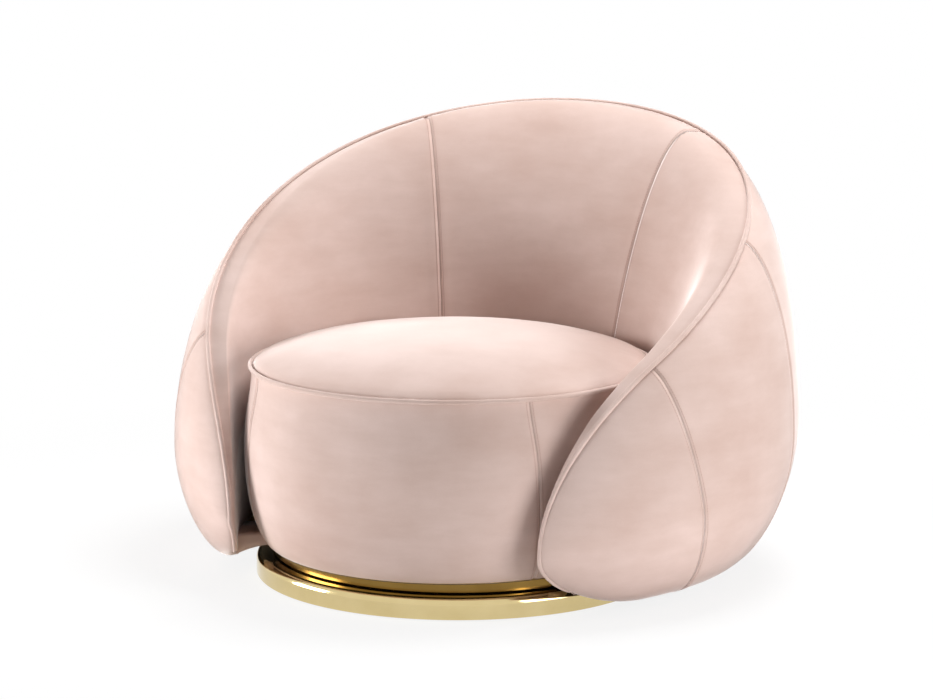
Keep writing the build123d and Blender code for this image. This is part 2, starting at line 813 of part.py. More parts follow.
with BuildPart() as arm_front_pad_left:
    loft(shell_sections(front_pad, pad_angles))
    add(baseboard.part, mode=Mode.SUBTRACT)
    add(dust_cover.part, mode=Mode.SUBTRACT)

with BuildPart() as arm_front_pad_right:
    mirror(arm_front_pad_left.part, about=Plane.YZ)

with BuildPart() as outer_back_foam:
    loft(shell_sections(outer_foam, outer_back_angles))

with BuildPart() as outer_side_foam_left:
    loft(shell_sections(outer_foam, outer_side_angles))

with BuildPart() as outer_side_foam_right:
    mirror(outer_side_foam_left.part, about=Plane.YZ)

# Cover of the shell
with BuildPart() as inner_back_panel:
    loft(shell_sections(inner_cover, inner_back_angles))

with BuildPart() as inner_arm_panel_left:
    loft(shell_sections(inner_cover, inner_arm_angles))
    loft(shell_sections(inner_cover, cover_nose_angles))
    add(baseboard.part, mode=Mode.SUBTRACT)

with BuildPart() as inner_arm_panel_right:
    mirror(inner_arm_panel_left.part, about=Plane.YZ)

with BuildPart() as outer_back_panel:
    loft(shell_sections(outer_cover, outer_back_angles))

# The slanting seam between the side panel and the front panel lies in a plane that faces back
seam_top = shell_point(front_seam_top, rim_radius(front_seam_top), rim_height(front_seam_top))
seam_foot = shell_point(front_seam_foot, foot_radius(front_seam_foot), shell_foot)
seam_outwards = shell_plane((front_seam_top + front_seam_foot) / 2).x_dir
seam_plane = Plane(origin=seam_top, x_dir=seam_outwards, z_dir=seam_outwards.cross(seam_foot - seam_top))
outer_side_sections = shell_sections(outer_cover, outer_side_angles)

with BuildPart() as outer_side_panel_left:
    loft(outer_side_sections)
    split(bisect_by=seam_plane, keep=Keep.TOP)

with BuildPart() as outer_front_panel_left:
    loft(outer_side_sections)
    split(bisect_by=seam_plane, keep=Keep.BOTTOM)
    loft(shell_sections(outer_cover, cover_nose_angles))

with BuildPart() as outer_side_panel_right:
    mirror(outer_side_panel_left.part, about=Plane.YZ)

with BuildPart() as outer_front_panel_right:
    mirror(outer_front_panel_left.part, about=Plane.YZ)

# Welt along the rim: it slows down towards the nose, where it turns steeply down
welt_spread = 22  # degrees of plan angle for a unit step away from the nose
welt_half = sqrt(nose_angle / welt_spread)
welt_tail = 0.1  # how far it goes on under the nose


def rim_place(step):
    """Point of the rim, from one nose over the back to the other."""
    from_nose = welt_half - abs(step)
    angle = nose_angle - welt_spread * from_nose**2
    height = rim_height(angle) if from_nose > 0 else under_height(angle)
    angle = angle if step > 0 else -angle
    return shell_point(angle, rim_radius(angle), height)


with BuildPart() as rim_welt:
    with BuildLine() as rim_line:
        Spline(*[rim_place(step) for step in spread(-welt_half - welt_tail, welt_half + welt_tail, 41)])
    with BuildSketch(Plane(origin=rim_line.line @ 0, z_dir=rim_line.line % 0)):
        Circle(welt_radius)
    sweep(path=rim_line.line)

pieces = {
    "base_pan": base_pan,
    "base_core": base_core,
    "floor_glides": floor_glides,
    "glide_screws": glide_screws,
    "outer_race": outer_race,
    "outer_race_screws": outer_race_screws,
    "ball_cage": ball_cage,
    "bearing_balls": bearing_balls,
    "inner_race": inner_race,
    "inner_race_bolts": inner_race_bolts,
    "tee_nuts": tee_nuts,
    "swivel_collar": swivel_collar,
    "collar_screws": collar_screws,
    "baseboard": baseboard,
    "dust_cover": dust_cover,
    "drum_posts": drum_posts,
    "seat_hoop": seat_hoop,
    "drum_skin": drum_skin,
    "seat_springs": seat_springs,
    "spring_clips": spring_clips,
    "spring_pad": spring_pad,
    "seat_foam": seat_foam,
    "drum_foam": drum_foam,
    "seat_cover": seat_cover,
    "drum_front_panel": drum_front_panel,
    "drum_side_panel_left": drum_side_panel_left,
    "drum_side_panel_right": drum_side_panel_right,
    "seat_welt": seat_welt,
    "rim_rail": rim_rail,
    "shell_ribs": shell_ribs,
    "rib_brackets": rib_brackets,
    "rib_screws": rib_screws,
    "inner_liner": inner_liner,
    "outer_liner": outer_liner,
    "inner_back_foam": inner_back_foam,
    "inner_arm_foam_left": inner_arm_foam_left,
    "inner_arm_foam_right": inner_arm_foam_right,
    "arm_front_pad_left": arm_front_pad_left,
    "arm_front_pad_right": arm_front_pad_right,
    "outer_back_foam": outer_back_foam,
    "outer_side_foam_left": outer_side_foam_left,
    "outer_side_foam_right": outer_side_foam_right,
    "inner_back_panel": inner_back_panel,
    "inner_arm_panel_left": inner_arm_panel_left,
    "inner_arm_panel_right": inner_arm_panel_right,
    "outer_back_panel": outer_back_panel,
    "outer_side_panel_left": outer_side_panel_left,
    "outer_side_panel_right": outer_side_panel_right,
    "outer_front_panel_left": outer_front_panel_left,
    "outer_front_panel_right": outer_front_panel_right,
    "rim_welt": rim_welt,
}

os.makedirs("parts", exist_ok=True)
for name, piece in pieces.items():
    piece.part.label = name
    export_step(piece.part, f"parts/{name}.step")
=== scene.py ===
# %% [markdown]
# # A swivel lounge chair, dressed in velvet
#
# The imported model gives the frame: where each piece is, and which body it turns with. This script makes what
# shows: soft panels over the padding, welts and stitches along the seams, and a polished metal base.
# Everything is in metres. The chair faces -Y, and the origin is on the floor under the swivel axis.

import json
import math

import bmesh
import bpy
import numpy as np
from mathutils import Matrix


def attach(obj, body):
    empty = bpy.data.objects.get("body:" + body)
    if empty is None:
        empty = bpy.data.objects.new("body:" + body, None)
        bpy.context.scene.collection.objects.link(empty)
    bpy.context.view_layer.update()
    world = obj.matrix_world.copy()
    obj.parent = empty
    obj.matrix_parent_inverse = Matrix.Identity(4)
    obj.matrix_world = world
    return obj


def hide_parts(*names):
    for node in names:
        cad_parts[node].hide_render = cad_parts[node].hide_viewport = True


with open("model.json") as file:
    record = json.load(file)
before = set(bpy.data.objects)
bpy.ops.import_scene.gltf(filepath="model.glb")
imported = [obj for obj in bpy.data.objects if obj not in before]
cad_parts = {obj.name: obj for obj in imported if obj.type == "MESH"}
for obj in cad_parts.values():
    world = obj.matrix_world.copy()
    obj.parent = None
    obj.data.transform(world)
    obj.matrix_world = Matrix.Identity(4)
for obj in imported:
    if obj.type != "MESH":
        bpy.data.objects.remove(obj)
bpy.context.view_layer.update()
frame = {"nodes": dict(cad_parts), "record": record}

# %% [markdown]
# ## Camera
#
# The photograph was taken with a long lens, from the sitter's left and a little above. A camera could be
# placed by eye. Here its angles come from fitting the chair's outlines, so that the render lines up with the
# picture. It looks at a point on the swivel axis, and a small shift puts that point where it lies in the
# frame.

# %% Camera
image_width, focal_pixels = 933, 3045.7
sensor_width = 36.0
view_azimuth, view_elevation, view_distance = 25.2, 10.64, 5.272
view_target = np.array([0.0, 0.0, 0.37])
target_offset = (8.0, 10.0)  # pixels left of and below the middle of the frame

azimuth, elevation = math.radians(view_azimuth), math.radians(view_elevation)
towards_camera = np.array(
    [math.sin(azimuth) * math.cos(elevation), -math.cos(azimuth) * math.cos(elevation), math.sin(elevation)]
)


def add_object(name, data):
    """Object of the scene that shows the given data."""
    made = bpy.data.objects.new(name, data)
    bpy.context.scene.collection.objects.link(made)
    return made


camera_data = bpy.data.cameras.new("photo_camera")
camera_data.sensor_width = sensor_width
camera_data.lens = sensor_width * focal_pixels / image_width
camera_data.shift_x = target_offset[0] / image_width
camera_data.shift_y = target_offset[1] / image_width
camera = add_object("photo_camera", camera_data)
camera.location = view_target + view_distance * towards_camera
camera.rotation_euler = (math.pi / 2 - elevation, 0, azimuth)
bpy.context.scene.camera = camera
print("lens", round(camera_data.lens, 1), "at", [round(value, 3) for value in camera.location])

# %% [markdown]
# ## Shader maths
#
# Materials are node graphs. They could be wired socket by socket, which hides the formula. Here a small
# class wraps a socket, so that a formula in Python adds the Math nodes for it, and one method makes any
# other node.

# %% Shader helper


class Link:
    """A socket of a material, on which sums and products add Math nodes."""

    def __init__(self, tree, socket):
        self.tree, self.socket = tree, socket

    def node(self, kind, settings=None, output=0, **values):
        """Adds a node: its settings first, then a value or a link for each named or numbered input."""
        made = self.tree.nodes.new(kind)
        for name, value in (settings or {}).items():
            if name == "stops":
                ramp = made.color_ramp
                while len(ramp.elements) < len(value):
                    ramp.elements.new(1)
                for element, (place, colour) in zip(ramp.elements, value):
                    element.position, element.color = place, colour
            else:
                setattr(made, name, value)
        for name, value in values.items():
            key = int(name[1:]) if name[0] == "_" else name.replace("_", " ")
            socket = made.inputs[key]
            if isinstance(value, Link):
                self.tree.links.new(value.socket, socket)
            else:
                socket.default_value = value
        return Link(self.tree, made.outputs[output])

    def math(self, operation, *others):
        """Adds a Math node that works on this value and the others."""
        values = {f"_{place}": value for place, value in enumerate((self,) + others)}
        return self.node("ShaderNodeMath", {"operation": operation}, **values)

    def __add__(self, other):
        return self.math("ADD", other)

    def __sub__(self, other):
        return self.math("SUBTRACT", other)

    def __mul__(self, other):
        return self.math("MULTIPLY", other)

    def __rsub__(self, other):
        return (self * -1.0) + other

    __radd__, __rmul__ = __add__, __mul__

    def clamp(self):
        """The value, kept between 0 and 1."""
        return self.math("MAXIMUM", 0.0).math("MINIMUM", 1.0)

    def ramp(self, *stops):
        """Colour that follows this value through the stops."""
        return self.node("ShaderNodeValToRGB", {"stops": stops}, Fac=self)


def colour(red, green, blue):
    """Scene colour of an sRGB colour given in steps of 255."""
    share = np.array([red, green, blue]) / 255
    linear = np.where(share <= 0.04045, share / 12.92, ((share + 0.055) / 1.055) ** 2.4)
    return tuple(float(value) for value in linear) + (1.0,)


def new_material(name):
    """Material with a Principled shader, as (material, shader node, link to Object coordinates)."""
    material = bpy.data.materials.new(name)
    material.use_nodes = True
    tree = material.node_tree
    shader = tree.nodes["Principled BSDF"]
    place = tree.nodes.new("ShaderNodeTexCoord").outputs["Object"]
    return material, shader, Link(tree, place)


def feed(shader, **values):
    """Sets or links the shader's inputs."""
    for name, value in values.items():
        socket = shader.inputs[name.replace("_", " ")]
        if isinstance(value, Link):
            value.tree.links.new(value.socket, socket)
        else:
            socket.default_value = value


# %% [markdown]
# ## Velvet
#
# Velvet is a short dense pile. Where hands have brushed it, the pile lies another way, and the cloth looks a
# little lighter or darker in soft clouds and strokes. The pile could be grown as hair, but a chair would
# need millions of strands. Its edges catch light, which is what sheen does, and a tiny bump stands for the
# strands.

# %% Velvet
stitch_gap, seam_reach = 0.0054, 0.02  # from a seam to a row of stitches, and as far as the seam map goes
line_sharpness = 22  # a pressed line reaches 1/22 of the seam map to either side


def make_velvet(name, base, dark, light, pressed):
    """Colour from clouds of brushed pile, strokes and fine grain, and lines where stitches press it in."""
    material, shader, place = new_material(name)
    seam_map = place.node("ShaderNodeUVMap", {"uv_map": "seam"})
    near_seam = place.node("ShaderNodeSeparateXYZ", Vector=seam_map)
    off_line = (near_seam - (1 - stitch_gap / seam_reach)) * line_sharpness
    line = (1 - off_line * off_line).clamp()
    clouds = place.node("ShaderNodeTexNoise", Vector=place, Scale=5.0, Detail=4.0, Roughness=0.55)
    slant, stretch = (0.35, 0.5, 0.2), (9.0, 9.0, 34.0)
    stretched = place.node("ShaderNodeMapping", Vector=place, Scale=stretch, Rotation=slant)
    strokes = place.node("ShaderNodeTexNoise", Vector=stretched, Scale=1.0, Detail=5.0, Roughness=0.6)
    grain = place.node("ShaderNodeTexNoise", Vector=place, Scale=900.0, Detail=2.0, Roughness=0.6)
    nap = (clouds * 0.55 + strokes * 0.3 + grain * 0.15 - line * 0.4).clamp()
    tint = nap.ramp((0.0, pressed), (0.38, dark), (0.5, base), (0.62, light))
    pile = place.node("ShaderNodeTexNoise", Vector=place, Scale=1600.0, Detail=1.0)
    height = pile * 0.7 + strokes * 0.3 - line * 2.5
    bump = place.node("ShaderNodeBump", Height=height, Strength=0.12, Distance=0.0006)
    feed(shader, Base_Color=tint, Roughness=0.78 + 0.16 * nap, Normal=bump, Specular_IOR_Level=0.1)
    feed(shader, Sheen_Weight=1.0, Sheen_Roughness=0.3, Sheen_Tint=(1.0, 0.94, 0.92, 1.0))
    return material


velvet = make_velvet(
    "blush_velvet",
    base=colour(207, 183, 174),
    dark=colour(200, 174, 164),
    light=colour(215, 192, 184),
    pressed=colour(176, 147, 137),
)
print("velvet nodes", len(velvet.node_tree.nodes))

# %% [markdown]
# ## From a formula to a mesh
#
# Each soft piece is a surface: a function of two parameters, worked out on a grid as whole arrays. It could
# be pulled into shape by hand from a box, but a formula keeps the panels on the shape of the solids, and
# edge to edge. A panel of cloth also has a back, so the grid is laid twice, a thickness apart, and the
# border is closed.

# %% Mesh helpers


def grid_faces(rows, columns, close_rows=False, close_columns=False):
    """Four-sided faces of a grid whose points are numbered row by row; a closed direction joins its ends."""
    number = np.arange(rows * columns).reshape(rows, columns)
    if close_rows:
        number = np.vstack([number, number[:1]])
    if close_columns:
        number = np.hstack([number, number[:, :1]])
    corners = (number[:-1, :-1], number[1:, :-1], number[1:, 1:], number[:-1, 1:])
    return np.stack(corners, axis=-1).reshape(-1, 4)


def make_piece(name, points, faces, material, body="seat", slot="velvet"):
    """Smooth mesh object that rides on a body of the frame."""
    mesh = bpy.data.meshes.new(name)
    mesh.from_pydata(np.asarray(points, float).reshape(-1, 3).tolist(), [], np.asarray(faces).tolist())
    mesh.polygons.foreach_set("use_smooth", np.ones(len(mesh.polygons), bool))
    mesh.materials.append(material)
    mesh.update()
    piece = add_object(name, mesh)
    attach(piece, body)
    return piece


def full_turn(count):
    """Equal steps once round, in radians."""
    return np.linspace(0, 2 * math.pi, count, endpoint=False)


def unit(vectors):
    """Vectors made one long; a vector of no length stays as it is."""
    length = np.linalg.norm(vectors, axis=-1, keepdims=True)
    return vectors / np.maximum(length, 1e-12)


def grid_normals(points):
    """Unit normals of a grid of points: the cross product of its two directions."""
    return unit(np.cross(np.gradient(points, axis=0), np.gradient(points, axis=1)))


def edge_distance(points, axis):
    """Length along the surface from the first line of the grid, and from its last line."""
    steps = np.linalg.norm(np.diff(points, axis=axis), axis=-1)
    start = np.insert(np.cumsum(steps, axis=axis), 0, 0, axis=axis)
    total = start[-1:] if axis == 0 else start[:, -1:]
    return start, total - start


def closed_sheet(front, back):
    """Points and faces of a sheet with two sides: both grids, and a strip round their borders."""
    rows, columns = front.shape[:2]
    number = np.arange(rows * columns).reshape(rows, columns)
    border = np.concatenate([number[:-1, 0], number[-1, :-1], number[:0:-1, -1], number[0, :0:-1]])
    after = np.roll(border, -1)
    count = rows * columns
    strip = np.stack([after, border, border + count, after + count], axis=-1)
    faces = grid_faces(rows, columns)
    points = np.concatenate([front.reshape(-1, 3), back.reshape(-1, 3)])
    return points, np.concatenate([faces, faces[:, ::-1] + count, strip])


print("helpers ready")

# %% [markdown]
# ## The shape of the shell
#
# The shell is the padded wall that sweeps from one arm round the back to the other. It could be sculpted,
# but would then drift from the solids. So it is drawn by a section that travels round an upright axis. Its
# rim is known in plan and in side view, and the section swells, leans and tucks under by amounts that run
# smoothly from the back, through the side, to the nose of each arm. These are the same formulas that the
# solids were made with.

# %% Rim of the shell
shell_y = 0.047  # the axis that the section travels round
nose_angle = 140.5  # plan angle of each nose, from the back
nose_height, nose_radius = 0.117, 0.363  # start and radius of the steep arc of the rim
rim_slope, rim_arc_radius = math.radians(33.5), 3.8  # slope where the gentle arc starts, and its radius
under_run, shell_foot = 0.165, 0.018  # how far back the underside starts to rise, and its lowest height


def through(angle, *stations):
    """Polynomial in the cosine of the plan angle that takes each station's value at its angle."""
    cosine = np.cos(np.radians(angle))
    total = np.zeros_like(cosine)
    for own, value in stations:
        others = [math.cos(math.radians(other)) for other, _ in stations if other != own]
        factors = [(cosine - other) / (math.cos(math.radians(own)) - other) for other in others]
        total = total + value * np.prod(factors, axis=0)
    return total


def along_shell(angle, back, side, nose):
    """Size that runs smoothly from the back, through the side, to the nose."""
    return through(angle, (0, back), (90, side), (nose_angle, nose))


def rim_radius(angle):
    """Plan radius of the rim."""
    return through(angle, (0, 0.482), (45, 0.486), (90, 0.470), (nose_angle, 0.451))


def rim_y(angle):
    """How far back the rim lies."""
    return shell_y + rim_radius(angle) * np.cos(np.radians(angle))


nose_y = float(rim_y(np.array(nose_angle)))
arc_start_y = nose_y + nose_radius * (1 - math.sin(rim_slope))
arc_centre_y = arc_start_y + rim_arc_radius * math.sin(rim_slope)
arc_centre_z = nose_height + (nose_radius - rim_arc_radius) * math.cos(rim_slope)


def rim_height(angle):
    """Height of the rim: a steep arc from the nose, then a long gentle arc to the back."""
    y = rim_y(angle)
    steep = nose_height + np.sqrt(np.maximum(0, nose_radius**2 - (nose_radius - (y - nose_y)) ** 2))
    gentle = arc_centre_z + np.sqrt(np.maximum(0, rim_arc_radius**2 - (y - arc_centre_y) ** 2))
    return np.where(y < arc_start_y, steep, gentle)


def under_height(angle):
    """Height of the underside, which curves up to the nose in a quarter ellipse."""
    share = 1 - np.clip(rim_y(angle) - nose_y, 0, under_run) / under_run
    return nose_height - (nose_height - shell_foot) * np.sqrt(1 - share**2)


print("rim height at the back", rim_height(np.array(0.0)).round(3), "nose at y", round(nose_y, 3))

# %% Section of the shell
drum_y, drum_reach = -0.027, 0.360  # axis of the drum, and the radius that the shell keeps clear of
edge_seat = 0.0025  # the cloth's edge lies this far under the welt's middle
foot_gap = 0.0066  # the outer face's foot lies at least this far outside the inner face
board_top, hem_lift = 0.0783, 0.0015  # lower edge of the inner cloth, and rise of the turned-in hem
hem_wide, hem_slim = 0.025, 0.008  # width of the hem at the back, and where it narrows towards the nose
hem_narrows, hem_closes, board_ends = (95, 110), (124, 130), (126, 132)  # between which plan angles
crest_inset, crest_rise = 0.034, 0.003  # where the roll's crest lies beside and above the rim
belly_share, foot_share = 0.45, 0.92  # where the belly and the foot lie along the outer face
bend_share, crest_share = 0.3, 0.77  # where the bend and the crest lie along the inner face
# the next sizes are given at the back, at the side and at the nose
tuck_at = (0.036, 0.031, 0.040)  # foot inside the rim
bulge_at = (0.082, 0.085, 0.035)  # belly outside the rim
belly_at = (0.47, 0.41, 0.48)  # height of the belly, as a share of the section's height
bend_at = (0.435, 0.64, 0.62)  # height where the inner face starts to lean, as such a share
lean_at = (0.12, 0.48, 0.5)  # how early it leans out


def between(value, start, end):
    """Share of the way from start to end: 0 before it, 1 after it."""
    return np.clip((value - start) / (end - start), 0, 1)


def outer_fade(angle):
    """Falls from one to nothing at the nose, late and steeply."""
    return np.sqrt(np.maximum(0, 1 - (np.abs(angle) / nose_angle) ** 10))


def inner_radius(angle):
    """Radius of the inner face low down: it follows the drum, and opens away from it at the nose."""
    offset, turn = shell_y - drum_y, np.radians(angle)
    beside = np.sqrt(drum_reach**2 - (offset * np.sin(turn)) ** 2) - offset * np.cos(turn)
    share = between(np.abs(angle), 90, nose_angle)
    return rim_radius(angle) - (rim_radius(angle) - beside) * np.sqrt(1 - share**4)


def foot_radius(angle):
    """Radius where the outer face ends underneath, always outside the inner face."""
    tucked = rim_radius(angle) - along_shell(angle, *tuck_at) * outer_fade(angle)
    return np.maximum(tucked, inner_radius(angle) + foot_gap * outer_fade(angle))


def curve(start, leave, reach, end, share):
    """Cubic curve from start to end, pulled towards the two points between them."""
    rest = 1 - share
    return rest**3 * start + 3 * rest**2 * share * leave + 3 * rest * share**2 * reach + share**3 * end


def shell_place(angle, radius, height):
    """Points from a plan angle, a radius and a height."""
    turn = np.radians(angle)
    return np.stack([radius * np.sin(turn), shell_y + radius * np.cos(turn), height], axis=-1)


def outer_face(angle, share):
    """Outer face: out from the rim to the belly, in to the foot, then a turned-in hem under the frame."""
    low, high, fade = under_height(angle), rim_height(angle), outer_fade(angle)
    bulge = along_shell(angle, *bulge_at) * fade
    belly = low + along_shell(angle, *belly_at) * (high - low)
    top_r, top_z = rim_radius(angle) - edge_seat * fade, high - edge_seat * fade
    out_r, foot_r = rim_radius(angle) + bulge, foot_radius(angle)
    upper, lower = between(share, 0, belly_share), between(share, belly_share, foot_share)
    radius = curve(top_r, top_r + 0.51 * bulge, out_r, out_r, upper)
    low_radius = curve(out_r, out_r, foot_r + 0.455 * (out_r - foot_r), foot_r, lower)
    radius = np.where(share > belly_share, low_radius, radius)
    height = curve(top_z, top_z - 0.204 * bulge, belly + 0.51 * (top_z - belly), belly, upper)
    low_height = curve(belly, belly - 0.455 * (belly - low), low, low, lower)
    height = np.where(share > belly_share, low_height, height)
    hem, from_back = between(share, foot_share, 1), np.abs(angle)
    narrow, close = between(from_back, *hem_narrows), between(from_back, *hem_closes)
    reach = (1 - close) * (hem_wide + (hem_slim - hem_wide) * narrow) + close * (foot_r - inner_radius(angle))
    return shell_place(angle, radius - hem * reach, height + hem_lift * hem)


def inner_face(angle, share):
    """Inner face: up beside the drum, leaning out to the crest of the roll, then over it to the welt."""
    low, high, fade = under_height(angle), rim_height(angle), outer_fade(angle)
    in_r = inner_radius(angle)
    bend = low + along_shell(angle, *bend_at) * (high - low)
    lean = along_shell(angle, *lean_at)
    top_r, top_z = rim_radius(angle) - edge_seat * fade, high - edge_seat * fade
    crest_r = np.maximum(rim_radius(angle) - crest_inset * fade, in_r + 0.4 * (top_r - in_r))
    crest_z = high + crest_rise * np.maximum(0, np.cos(np.radians(angle)))
    past_board = between(np.abs(angle), *board_ends)
    foot = np.maximum(board_top, low) * (1 - past_board) + (low + hem_lift) * past_board
    foot = np.minimum(foot, bend)
    rise, swell = between(share, 0, bend_share), between(share, bend_share, crest_share)
    roll, rolled = between(share, crest_share, 1), share > crest_share
    radius = curve(in_r, in_r + lean * (crest_r - in_r), crest_r - 0.35 * (crest_r - in_r), crest_r, swell)
    radius = np.where(rolled, curve(crest_r, crest_r + 0.6 * (top_r - crest_r), top_r, top_r, roll), radius)
    height = curve(bend, bend + 0.5 * (crest_z - bend), crest_z, crest_z, swell)
    height = np.where(share < bend_share, foot + (bend - foot) * rise, height)
    height = np.where(rolled, curve(crest_z, crest_z, top_z + 0.4 * (crest_z - top_z), top_z, roll), height)
    return shell_place(angle, radius, height)


print("belly of the back at", outer_face(np.array(0.0), np.array(belly_share)).round(3))

# %% [markdown]
# ## Panels of cloth
#
# A tight cover is sewn from panels. Seams could be painted on one big surface, but real ones catch light and
# shade, so each panel is a piece of its own. At a seam the edges turn in, so the panel sinks there over a
# few millimetres, and the stitches pull small puckers into it. Between the seams the padding makes the cloth
# slightly uneven. A UV map named seam keeps how near each point is to a seam, for the velvet to read.

# %% Panel helper
panel_thickness = 0.003
seam_depth, seam_turn = 0.0009, 0.0055  # how deep a seam lies, and how near it the cloth turns in
pucker_height, pucker_length, pucker_start, pucker_reach = 0.00022, 0.013, 0.003, 0.014
puff_height, puff_place, puff_width = 0.0006, 0.011, 0.006  # soft swelling beside a seam
lump_height, calm_edge = 0.0005, 0.03  # uneven padding, and how far from a panel's edges it is full


def unevenness(points):
    """Soft lumps of the padding, as waves of three directions about a hand's breadth long, in metres."""
    x, y, z = points[..., 0], points[..., 1], points[..., 2]
    waves = np.sin(31 * x + 17 * z + 1.3) * np.sin(23 * y - 12 * z + 0.4)
    waves = waves + 0.6 * np.sin(47 * y + 29 * x) * np.sin(41 * z + 2.1)
    return lump_height * waves


def sewn(front, seam_ends):
    """Grid with its seam borders turned in, its normals, and a share that rises from 0 to 1 at the seams.

    A seam lies along the first line of the grid (0) or its last line (1), and small puckers run along it.
    """
    normal = grid_normals(front)
    across, along = edge_distance(front, 0), edge_distance(front, 1)
    nearest = np.minimum(np.minimum(*across), np.minimum(*along))
    sink = -unevenness(front) * between(nearest, 0, calm_edge)
    near = np.zeros(front.shape[:2])
    for end in seam_ends:
        distance, run = across[end], along[0]
        edge = between(distance, seam_turn, 0) ** 2
        wave = np.sin(run * 2 * math.pi / pucker_length + 1.7 * np.sin(run * 37))
        pucker = wave * np.exp(-distance / pucker_reach) * between(distance, 0, pucker_start)
        puff = np.exp(-(((distance - puff_place) / puff_width) ** 2))
        sink = sink + seam_depth * edge + pucker_height * pucker - puff_height * puff
        near = np.maximum(near, 1 - distance / seam_reach)
    return front - normal * sink[..., None], normal, near


def make_panel(name, front, seam_ends, nodes):
    """Padded panel that stands for its CAD cover and foam."""
    face, normal, near = sewn(front, seam_ends)
    back = face - normal * panel_thickness
    piece = make_piece(name, *closed_sheet(face, back), velvet)
    corners = np.empty(len(piece.data.loops), np.int32)
    piece.data.loops.foreach_get("vertex_index", corners)
    share = np.tile(near.ravel(), 2)[corners]
    layer = piece.data.uv_layers.new(name="seam")
    layer.data.foreach_set("uv", np.stack([share, 0 * share], axis=-1).astype(np.float32).ravel())
    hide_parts(*nodes)
    print(name, len(piece.data.polygons), "faces")


def angles_between(start, end, count, share_rows):
    """Grid of plan angles from one seam to the other. A slanting seam is given as a row of angles."""
    step = np.linspace(0, 1, count)[:, None]
    start, end = np.broadcast_to(start, share_rows.shape), np.broadcast_to(end, share_rows.shape)
    return start + (end - start) * step


def angles_to_nose(start, count, share_rows, side):
    """Grid of plan angles from a seam to the nose of one arm, closer together where the nose rounds off."""
    step = np.linspace(0, 1, count)[:, None]
    last = nose_angle - 1e-4
    angle = last - (last - np.broadcast_to(start, share_rows.shape)) * (1 - step) ** 2
    return angle if side > 0 else -angle[::-1]


print("panel helper ready")

# %% Inner panels
inner_seam = 35.0
side_names = {1: "left", -1: "right"}
inner_rows = np.linspace(0, 1, 130)

back_angles = angles_between(-inner_seam, inner_seam, 100, inner_rows)
make_panel(
    "inner_back_pad",
    inner_face(back_angles, inner_rows[None]),
    [0, 1],
    ["inner_back_panel", "inner_back_foam"],
)
for side, word in side_names.items():
    arm_angles = angles_to_nose(inner_seam, 190, inner_rows, side)
    make_panel(
        f"inner_arm_pad_{word}",
        inner_face(arm_angles, inner_rows[None]),
        [0 if side > 0 else 1],
        [f"inner_arm_panel_{word}", f"inner_arm_foam_{word}"],
    )

# %% [markdown]
# The outer side has a broad back, a side panel and a front panel on each arm. The seam of the front panel
# slants: it lies in a flat plane through a point of the rim and a point of the foot. The plan angle on that
# plane could be solved for by algebra. Halving an interval is simpler, and works for any shape of the face.

# %% Outer panels
back_seam = 78.0
seam_top_angle, seam_foot_angle = 114.7, 102.8
outer_rows = np.linspace(0, 1, 140)


def front_seam_angles(shares):
    """Plan angle at which each line of the outer face crosses the seam's plane, by repeated halving."""
    top_a, foot_a = np.array(seam_top_angle), np.array(seam_foot_angle)
    top = shell_place(top_a, rim_radius(top_a), rim_height(top_a))
    foot = shell_place(foot_a, foot_radius(foot_a), np.array(shell_foot))
    turn = math.radians((seam_top_angle + seam_foot_angle) / 2)
    normal = np.cross([math.sin(turn), math.cos(turn), 0.0], foot - top)
    low, high = np.full(shares.shape, 85.0), np.full(shares.shape, 130.0)
    for _ in range(40):
        middle = (low + high) / 2
        behind = (outer_face(middle, shares) - top) @ normal > 0
        low, high = np.where(behind, middle, low), np.where(behind, high, middle)
    return low


front_seam = front_seam_angles(outer_rows)
print("front seam from", front_seam[0].round(1), "to", front_seam[-1].round(1), "degrees")

make_panel(
    "outer_back_pad",
    outer_face(angles_between(-back_seam, back_seam, 240, outer_rows), outer_rows[None]),
    [0, 1],
    ["outer_back_panel", "outer_back_foam"],
)
for side, word in side_names.items():
    seams = np.sort([back_seam + 0 * front_seam, front_seam], axis=0)[::side] * side
    make_panel(
        f"outer_side_pad_{word}",
        outer_face(angles_between(seams[0], seams[1], 60, outer_rows), outer_rows[None]),
        [0, 1],
        [f"outer_side_panel_{word}", f"outer_side_foam_{word}"],
    )
    make_panel(
        f"outer_front_pad_{word}",
        outer_face(angles_to_nose(front_seam, 110, outer_rows, side), outer_rows[None]),
        [0 if side > 0 else 1],
        [f"outer_front_panel_{word}", f"arm_front_pad_{word}"],
    )

# %% [markdown]
# ## The drum seat
#
# The seat is a round drum with its own tight cover: a front panel and two side panels, sewn together, and a
# crowned top that is joined to them by a welt. A Screw modifier could turn the profile all the way round. A
# formula can stop at a seam, so each side is a curve turned about the drum's axis from one seam to the next.

# %% Drum panels
drum_radius, seat_height, seat_crown = 0.347, 0.370, 0.052
drum_top, drum_belly, drum_foot = (0.3445, 0.369), (0.359, 0.225), (0.320, 0.062)  # radius and height
drum_foot_share, drum_hem = 0.94, 0.0035  # where the foot lies along the side, and how far the hem turns in
drum_seam_middle, drum_seam_slant = 131.2, 2.2  # plan angles from the back, in degrees
drum_rows = np.linspace(0, 1, 90)


def drum_place(angle, radius, height):
    """Points from a plan angle about the drum's axis, a radius and a height."""
    turn = np.radians(angle)
    return np.stack([radius * np.sin(turn), drum_y + radius * np.cos(turn), height], axis=-1)


